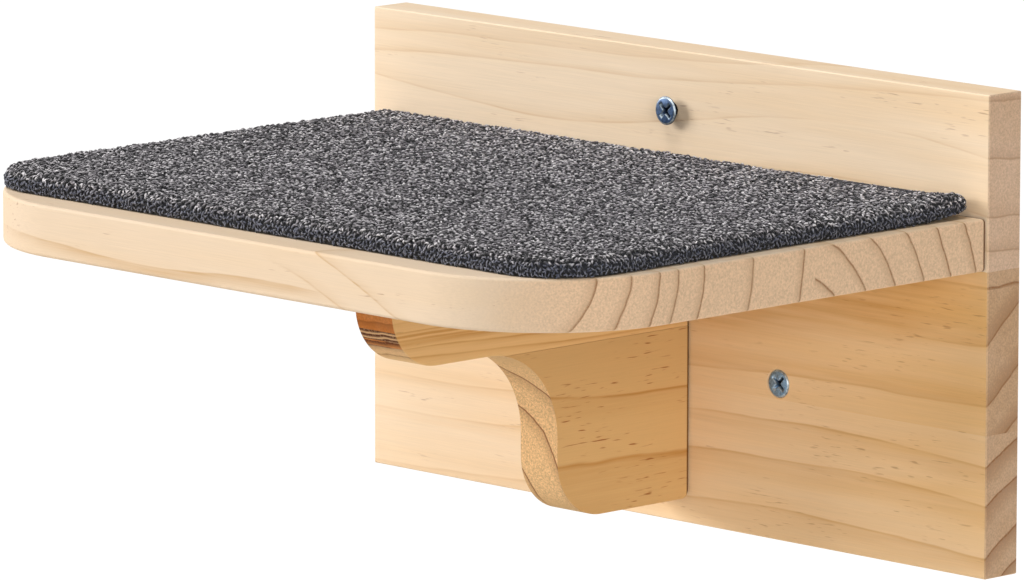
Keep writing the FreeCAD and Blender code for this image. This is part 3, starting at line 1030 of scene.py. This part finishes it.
class CATSTEP_OT_boards(bpy.types.Operator):
    """Builds the shelf and dresses the back board"""

    bl_idname = "catstep.boards"
    bl_label = "Shelf and Back Board"

    def execute(self, context):
        look = context.scene.cat_step.pine
        low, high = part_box("shelf_board")
        high.y -= look.joint_gap
        shelf = prism(
            "shelf", rounded_plan(low, high, look.corner_radius, 0),
            lambda point, depth: (point.x, point.y, depth), low.z, high.z,
            lambda edge: is_rim(edge, UP) and min(vertex.co.y for vertex in edge.verts) < high.y - MM,
        )
        cutters = [
            screw_holes("shelf screw holes", "shelf_screws", BACK_SCREW, OUT_OF_WALL),
            screw_holes("arm screw holes", "arm_screws", ARM_SCREW, DOWN),
        ]
        ease_and_drill(shelf, look.shelf_arris, cutters)
        dress(shelf, pine(look, SHELF_PINE, high.y))
        hand_over(shelf, "pine_boards", "shelf_board")
        dress(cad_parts["back_board"], pine(look, BACK_BOARD_PINE))
        return {"FINISHED"}


class CATSTEP_OT_bracket(bpy.types.Operator):
    """Builds the bracket's arm and block, shaped as one outline"""

    bl_idname = "catstep.bracket"
    bl_label = "Bracket"

    def execute(self, context):
        look = context.scene.cat_step.pine
        low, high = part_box("bracket_arm")
        back = high.y - look.joint_gap
        arm_outline, block_outline = self.outlines(context.scene.cat_step.bracket, back)

        def eased(edge):
            heights = [vertex.co.z for vertex in edge.verts]
            at_back = min(vertex.co.y for vertex in edge.verts) > back - TOUCH
            if min(heights) > high.z - MM or at_back or not is_rim(edge, ALONG):
                return 0
            glued = max(abs(height - low.z) for height in heights) < TOUCH
            return look.glue_groove / look.bracket_arris if glued else 1

        for node_name, outline, wood in (
            ("bracket_arm", arm_outline, ARM_PINE), ("bracket_block", block_outline, BLOCK_PINE),
        ):
            piece = prism(
                node_name + "_shaped", outline, lambda point, depth: (depth, point.x, point.y),
                low.x, high.x, eased,
            )
            cutters = [screw_holes(node_name + " screw holes", "bracket_screws", BACK_SCREW, OUT_OF_WALL)]
            if node_name == "bracket_arm":
                cutters.append(screw_holes(node_name + " top holes", "arm_screws", ARM_SCREW, DOWN))
            ease_and_drill(piece, look.bracket_arris, cutters)
            dress(piece, pine(look, wood, back))
            hand_over(piece, "pine_bracket", node_name)
        return {"FINISHED"}

    def outlines(self, form, back):
        """The arm and the block from the side, as (out, up) points, with the cove shared at the glue line."""
        arm_low, arm_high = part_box("bracket_arm")
        glue_line = arm_low.z
        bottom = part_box("bracket_block")[0].z
        front = arm_high.y - form.block_depth
        underside = glue_line + form.glue_drop
        cove_middle = (front - form.cove, underside - form.cove)
        glue_angle = math.degrees(math.asin((glue_line - cove_middle[1]) / form.cove))
        nose, corner = form.block_nose, form.block_back
        arm = [Vector((back, glue_line)), Vector((back, arm_high.z)), Vector((arm_low.y, arm_high.z))]
        arm += arc((arm_low.y + form.arm_nose, underside + form.arm_nose), form.arm_nose, 180, 270)
        arm += arc(cove_middle, form.cove, 90, glue_angle)
        block = arc(cove_middle, form.cove, glue_angle, 0)
        block += arc((front + nose, bottom + nose), nose, 180, 270)
        block += arc((back - corner, bottom + corner), corner, 270, 360)
        block.append(Vector((back, glue_line)))
        return arm, block


def yarn_loops(tree, given):
    """Two kinds of yarn loop, bent to one side or in an S, marked with the height along each."""
    minus_reach = node(tree, "ShaderNodeMath", {0: given["Reach"], 1: -1.0}, operation="MULTIPLY")
    minus_curl = node(tree, "ShaderNodeMath", {0: given["Curl"], 1: -1.0}, operation="MULTIPLY")
    section = node(
        tree, "GeometryNodeCurvePrimitiveCircle", {"Resolution": 3, "Radius": given["Yarn radius"]}
    )
    crest = 0.75
    top = node(
        tree, "ShaderNodeMath", {0: given["Rise"], 1: crest, 2: given["Yarn radius"]},
        operation="MULTIPLY_ADD",
    )
    kinds = node(tree, "GeometryNodeJoinGeometry")
    for far_curl in (given["Curl"], minus_curl):
        start = node(tree, "ShaderNodeCombineXYZ", {0: minus_reach})
        end = node(tree, "ShaderNodeCombineXYZ", {0: given["Reach"]})
        near = node(tree, "ShaderNodeCombineXYZ", {0: minus_reach, 1: given["Curl"], 2: given["Rise"]})
        far = node(tree, "ShaderNodeCombineXYZ", {0: given["Reach"], 1: far_curl, 2: given["Rise"]})
        line = node(
            tree, "GeometryNodeCurvePrimitiveBezierSegment",
            {"Resolution": 5, "Start": start, "Start Handle": near, "End Handle": far, "End": end},
            mode="POSITION",
        )
        tube = node(
            tree, "GeometryNodeCurveToMesh", {"Curve": line, "Profile Curve": section, "Fill Caps": True}
        )
        spot = node(tree, "ShaderNodeSeparateXYZ", {0: node(tree, "GeometryNodeInputPosition")})
        tip = node(tree, "ShaderNodeMath", {0: spot.outputs[UP], 1: top}, operation="DIVIDE")
        marked = node(
            tree, "GeometryNodeStoreNamedAttribute", {"Geometry": tube, "Name": "tip", "Value": tip},
            data_type="FLOAT", domain="POINT",
        )
        kind = node(tree, "GeometryNodeGeometryToInstance", {0: marked})
        tree.links.new(kind.outputs[0], kinds.inputs[0])
    return kinds


def loop_scale(tree, normal, seed):
    """A random size for each loop, less where the surface is upright, as along the edge of a mat."""
    least, most = (0.75, 0.75, 0.7), (1.35, 1.35, 1.2)
    scale = node(
        tree, "FunctionNodeRandomValue", {"Min": least, "Max": most, "Seed": seed}, data_type="FLOAT_VECTOR"
    )
    up = node(tree, "ShaderNodeSeparateXYZ", {0: normal}).outputs[UP]
    up_thrice = node(tree, "ShaderNodeCombineXYZ", {0: up, 1: up, 2: up})
    level, upright_size = (0.85, 0.85, 0.85), (0.78, 0.78, 0.5)
    shorter = node(
        tree, "ShaderNodeMapRange", {"Vector": up_thrice, "From Max": level, "To Min": upright_size},
        data_type="FLOAT_VECTOR",
    )
    return node(tree, "ShaderNodeVectorMath", {0: scale, 1: shorter}, operation="MULTIPLY")


def loop_tree():
    """Stands loops of yarn on a surface, each turned and sized by chance, and gives each its own shade."""
    tree, given = geometry_tree("Yarn loops on a bed", {
        "Spacing": "NodeSocketFloat", "Reach": "NodeSocketFloat", "Rise": "NodeSocketFloat",
        "Curl": "NodeSocketFloat", "Yarn radius": "NodeSocketFloat", "Seed": "NodeSocketInt",
        "Material": "NodeSocketMaterial",
    })
    seed = given["Seed"]
    kinds = yarn_loops(tree, given)
    more_than_fit = 3e6
    feet = node(
        tree, "GeometryNodeDistributePointsOnFaces",
        {
            "Mesh": given["Geometry"], "Distance Min": given["Spacing"], "Density Max": more_than_fit,
            "Seed": seed,
        },
        distribute_method="POISSON",
    )
    lean, spin = 0.35, math.pi
    turn = node(
        tree, "FunctionNodeRandomValue",
        {"Min": (-lean, -lean, -spin), "Max": (lean, lean, spin), "Seed": seed}, data_type="FLOAT_VECTOR",
    )
    turn = node(tree, "FunctionNodeEulerToRotation", {0: turn})
    stand = node(
        tree, "FunctionNodeRotateRotation", {0: feet.outputs["Rotation"], 1: turn}, rotation_space="LOCAL"
    )
    scale = loop_scale(tree, feet.outputs["Normal"], seed)
    choice = node(tree, "FunctionNodeRandomValue", {"Min": 0, "Max": 1, "Seed": seed}, data_type="INT")
    loops = node(
        tree, "GeometryNodeInstanceOnPoints",
        {
            "Points": feet.outputs["Points"], "Instance": kinds, "Pick Instance": True,
            "Instance Index": choice, "Rotation": stand, "Scale": scale,
        },
    )
    shade = node(tree, "FunctionNodeRandomValue", {"Min": 0.0, "Max": 1.0, "Seed": seed}, data_type="FLOAT")
    shaded = node(
        tree, "GeometryNodeStoreNamedAttribute", {"Geometry": loops, "Name": "yarn", "Value": shade},
        data_type="FLOAT", domain="INSTANCE",
    )
    real = node(tree, "GeometryNodeRealizeInstances", {0: shaded})
    smooth = node(tree, "GeometryNodeSetShadeSmooth", {0: real})
    dressed = node(tree, "GeometryNodeSetMaterial", {"Geometry": smooth, "Material": given["Material"]})
    node(tree, "NodeGroupOutput", {0: dressed})
    return tree


def offset_inwards(outline, inset):
    """The outline drawn in evenly by a distance, point by point along its own normals."""
    moved = []
    for index, point in enumerate(outline):
        before, after = outline[index - 1], outline[(index + 1) % len(outline)]
        way = (after - before).normalized()
        moved.append(point + Vector((-way.y, way.x)) * inset)
    return moved


def evenly_spaced(outline, step):
    """The closed outline with points added along its long straight runs."""
    spaced = []
    for index, point in enumerate(outline):
        after = outline[(index + 1) % len(outline)]
        count = max(1, round((after - point).length / step))
        spaced += [point.lerp(after, share / count) for share in range(count)]
    return spaced


def curled(point, corner, lift, reach):
    """A point of the mat, raised where the mat curls up towards one of its corners."""
    near = max(0.0, 1 - math.dist(point[:2], corner) / reach)
    return Vector((point[0], point[1], point[2] + lift * near ** 2))


def mat_shell(outline, bottom, top, edge_round, uneven, seed):
    """A bmesh of the mat's pile: upright sides, a rounded top edge that wanders a little, and a flat top."""
    noise.seed_set(seed)
    levels = [(0.0, bottom), (0.0, (bottom + top - edge_round) / 2), (0.0, top - edge_round)]
    steps = 4
    for step in range(1, steps + 1):
        turn = math.pi / 2 * step / steps
        levels.append((edge_round * (1 - math.cos(turn)), top - edge_round * (1 - math.sin(turn))))
    drift_length, drift_height = 0.011, 0.006
    shape = bmesh.new()
    rings = []
    for inset, height in levels:
        ring = []
        for x, y in offset_inwards(outline, inset):
            drift = noise.noise_vector((x / drift_length, y / drift_length, height / drift_height))
            if height == bottom:
                drift.z = 0
            ring.append(shape.verts.new(Vector((x, y, height)) + drift * uneven))
        rings.append(ring)
    walls(shape, rings)
    shape.faces.new(rings[-1])
    shape.faces.new(list(reversed(rings[0])))
    return shape


def strip_of_bed(name, bed, flattest, left, right):
    """The mat's bed from left to right, without its underside and what is flatter than flattest."""
    underside = -0.5
    shape = bmesh.new()
    shape.from_mesh(bed.data)
    unwanted = [face for face in shape.faces if not underside <= face.normal.z < flattest]
    bmesh.ops.delete(shape, geom=unwanted, context="FACES_ONLY")
    for place, way in ((left, -1), (right, 1)):
        everything = list(shape.verts) + list(shape.edges) + list(shape.faces)
        bmesh.ops.bisect_plane(
            shape, geom=everything, plane_co=(place, 0, 0), plane_no=(way, 0, 0), clear_outer=True
        )
    return piece_of(name, shape)


class CATSTEP_OT_carpet(bpy.types.Operator):
    """Builds the carpet mat: backing, dense bed, loops of yarn, and the tape under it"""

    bl_idname = "catstep.carpet"
    bl_label = "Carpet Mat"

    def execute(self, context):
        look = context.scene.cat_step.carpet
        low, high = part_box("carpet_pile")
        edge_step = 5 * MM
        plan = evenly_spaced(rounded_plan(low, high, look.front_radius, look.back_radius), edge_step)
        inner = offset_inwards(plan, look.bed_inset)
        corner = (high.x, high.y)

        top_round = look.edge_round - look.bed_inset / 2
        shape = mat_shell(
            inner, low.z - look.foot_drop, high.z - look.bed_inset, top_round, look.unevenness, look.seed
        )
        for vertex in shape.verts:
            vertex.co = curled(vertex.co, corner, look.curl, look.curl_reach)
        bed = piece_of("pile_bed", shape)
        dress(bed, felt("needled pile bed", look.bed, fibre=0.6 * MM))
        loops = self.loops(look, bed, low, high)
        hand_over(bed, "carpet_pile", "carpet_pile")
        for piece in loops:
            hand_over(piece, "carpet_pile")

        back_low, back_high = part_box("carpet_backing")
        backing = prism(
            "mat_backing", inner,
            lambda point, depth: curled((point.x, point.y, depth), corner, look.curl, look.curl_reach),
            back_low.z, back_high.z, lambda edge: False,
        )
        dress(backing, felt("woven backing", look.backing, fibre=0.8 * MM))
        hand_over(backing, "carpet_backing", "carpet_backing")
        dress(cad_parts["carpet_tape"], felt("paper tape", look.tape, fibre=1.5 * MM))
        return {"FINISHED"}

    def loops(self, look, bed, low, high):
        """The loops of the pile, strip by strip across the mat, so that no piece is too dense. The rounded
        edge, where the loops are short, gets a second set."""
        tree = loop_tree()
        values = {
            "Spacing": look.loop_spacing, "Reach": look.loop_reach, "Rise": look.loop_rise,
            "Curl": look.loop_curl, "Yarn radius": look.yarn_radius, "Material": heather_yarn(look, high.z),
        }
        width = (high.x - low.x) / look.strips
        shoulder, any_face = 0.85, 1.1
        pieces = []
        for index in range(look.strips):
            left, right = low.x + width * index, low.x + width * (index + 1)
            for name, flattest, seed in (
                ("pile_loops", any_face, index + 1), ("edge_loops", shoulder, look.strips + index + 1),
            ):
                strip = strip_of_bed(f"{name}_{index + 1}", bed, flattest, left, right)
                pieces.append(grown(strip, tree, {**values, "Seed": seed}))
        return pieces


class CATSTEP_OT_screws(bpy.types.Operator):
    """Builds the wall screws and the screws that join the boards"""

    bl_idname = "catstep.screws"
    bl_label = "Screws"

    def execute(self, context):
        look = context.scene.cat_step.screws
        metal = blue_zinc(look)
        for node_name, form, way, spins, platings in (
            ("wall_screws", WALL_SCREW, INTO_WALL, (20, 45, 42), (0.5, 0.0, 1.0)),
            ("shelf_screws", BACK_SCREW, OUT_OF_WALL, (15, 70, 35), (0.3, 0.6, 0.4)),
            ("bracket_screws", BACK_SCREW, OUT_OF_WALL, (60, 5, 30), (0.5, 0.2, 0.7)),
            ("arm_screws", ARM_SCREW, DOWN, (20, 65), (0.4, 0.6)),
        ):
            name = node_name + "_threaded"
            template = screw_mesh(name + " template", form, look)
            row = fasteners(name, template, head_places(node_name, way), way, spins, metal, platings)
            hand_over(row, "blue_zinc", node_name)
        return {"FINISHED"}


def aimed(name, data, turn, rise, distance, target, roll=0.0):
    """A lamp or a camera that looks at the target from this far off, turned to the right and raised."""
    back = Vector((math.sin(turn) * math.cos(rise), -math.cos(turn) * math.cos(rise), math.sin(rise)))
    made = bpy.data.objects.new(name, data)
    made.location = Vector(target) + back * distance
    made.rotation_mode = "QUATERNION"
    made.rotation_quaternion = (-back).to_track_quat("-Z", "Y") @ Quaternion((0, 0, 1), roll)
    bpy.context.scene.collection.objects.link(made)
    return made


class CATSTEP_OT_stage(bpy.types.Operator):
    """Sets up the floor, the soft lights, the white surroundings and the camera"""

    bl_idname = "catstep.stage"
    bl_label = "Stage"

    def execute(self, context):
        stage = context.scene.cat_step.stage
        self.floor(stage)
        self.surroundings(context.scene, stage)
        self.lights(stage)
        self.camera(context.scene, stage)
        context.scene.view_settings.view_transform = "Standard"
        return {"FINISHED"}

    def seen_directly(self, tree):
        """1 for rays that show the background: from the camera, in a reflection or through glass."""
        path = node(tree, "ShaderNodeLightPath").outputs
        seen = node(
            tree, "ShaderNodeMath", {0: path["Is Camera Ray"], 1: path["Is Glossy Ray"]}, operation="ADD"
        )
        return node(
            tree, "ShaderNodeMath", {0: seen, 1: path["Is Transmission Ray"]}, operation="ADD", use_clamp=True
        )

    def floor(self, stage):
        """A pale floor that looks white and keeps a faint shadow."""
        half, glow, cover = 14.0, 1.1, 0.9
        mesh = bpy.data.meshes.new("floor")
        corners = [(-half, -half), (half, -half), (half, half), (-half, half)]
        mesh.from_pydata([(x, y, -stage.floor_drop) for x, y in corners], [], [(0, 1, 2, 3)])
        floor = new_piece("floor", mesh)
        material, tree = new_material("pale studio floor")
        matt = node(tree, "ShaderNodeBsdfDiffuse", {"Color": stage.floor})
        white = node(tree, "ShaderNodeEmission", {"Strength": glow})
        seen = self.seen_directly(tree)
        whiteness = node(tree, "ShaderNodeMath", {0: seen, 1: cover}, operation="MULTIPLY")
        mixed = node(tree, "ShaderNodeMixShader", {0: whiteness, 1: matt, 2: white})
        node(tree, "ShaderNodeOutputMaterial", {"Surface": mixed})
        dress(floor, material)

    def surroundings(self, scene, stage):
        """An even pale room, white where it shows."""
        world = bpy.data.worlds.new("pale studio")
        world.use_nodes = True
        tree = world.node_tree
        tree.nodes.clear()
        room = node(tree, "ShaderNodeBackground", {"Color": WHITE, "Strength": stage.surroundings})
        white = node(tree, "ShaderNodeBackground", {"Color": WHITE, "Strength": 1.0})
        mixed = node(tree, "ShaderNodeMixShader", {0: self.seen_directly(tree), 1: room, 2: white})
        node(tree, "ShaderNodeOutputWorld", {"Surface": mixed})
        scene.world = world

    def lights(self, stage):
        """Wide soft lights, all turned to the step."""
        for name, turn, rise, distance, side, power in LIGHTS:
            lamp = bpy.data.lights.new(name, "AREA")
            lamp.shape = "SQUARE"
            lamp.size = side
            lamp.energy = power
            aimed(name, lamp, math.radians(turn), math.radians(rise), distance, stage.target)

    def camera(self, scene, stage):
        """A long lens from the right, a little above the shelf."""
        lens = bpy.data.cameras.new("camera")
        lens.lens = stage.lens
        lens.sensor_width = SENSOR
        lens.clip_end = 100
        scene.camera = aimed(
            "camera", lens, stage.azimuth, stage.elevation, stage.distance, stage.target, stage.roll
        )


OPERATORS = (
    CATSTEP_OT_boards, CATSTEP_OT_bracket, CATSTEP_OT_carpet, CATSTEP_OT_screws, CATSTEP_OT_stage,
)


class CATSTEP_PT_panel(bpy.types.Panel):
    """Lists the steps that build the cat step"""

    bl_idname = "CATSTEP_PT_panel"
    bl_label = "Cat Wall Step"
    bl_space_type = "VIEW_3D"
    bl_region_type = "UI"
    bl_category = "Cat Step"

    def draw(self, context):
        for operator in OPERATORS:
            self.layout.operator(operator.bl_idname)


CLASSES = (
    PineSettings, BracketSettings, CarpetSettings, ScrewSettings, StageSettings, CatStepSettings,
    *OPERATORS, CATSTEP_PT_panel,
)


def register():
    """Registers the classes and hangs the settings on the scene."""
    for cls in CLASSES:
        bpy.utils.register_class(cls)
    bpy.types.Scene.cat_step = PointerProperty(type=CatStepSettings)


def unregister():
    """Takes the settings and the classes away again."""
    del bpy.types.Scene.cat_step
    for cls in reversed(CLASSES):
        bpy.utils.unregister_class(cls)


def main():
    """Builds the whole step."""
    register()
    bpy.ops.catstep.boards()
    bpy.ops.catstep.bracket()
    bpy.ops.catstep.carpet()
    bpy.ops.catstep.screws()
    bpy.ops.catstep.stage()


if __name__ == "__main__":
    main()
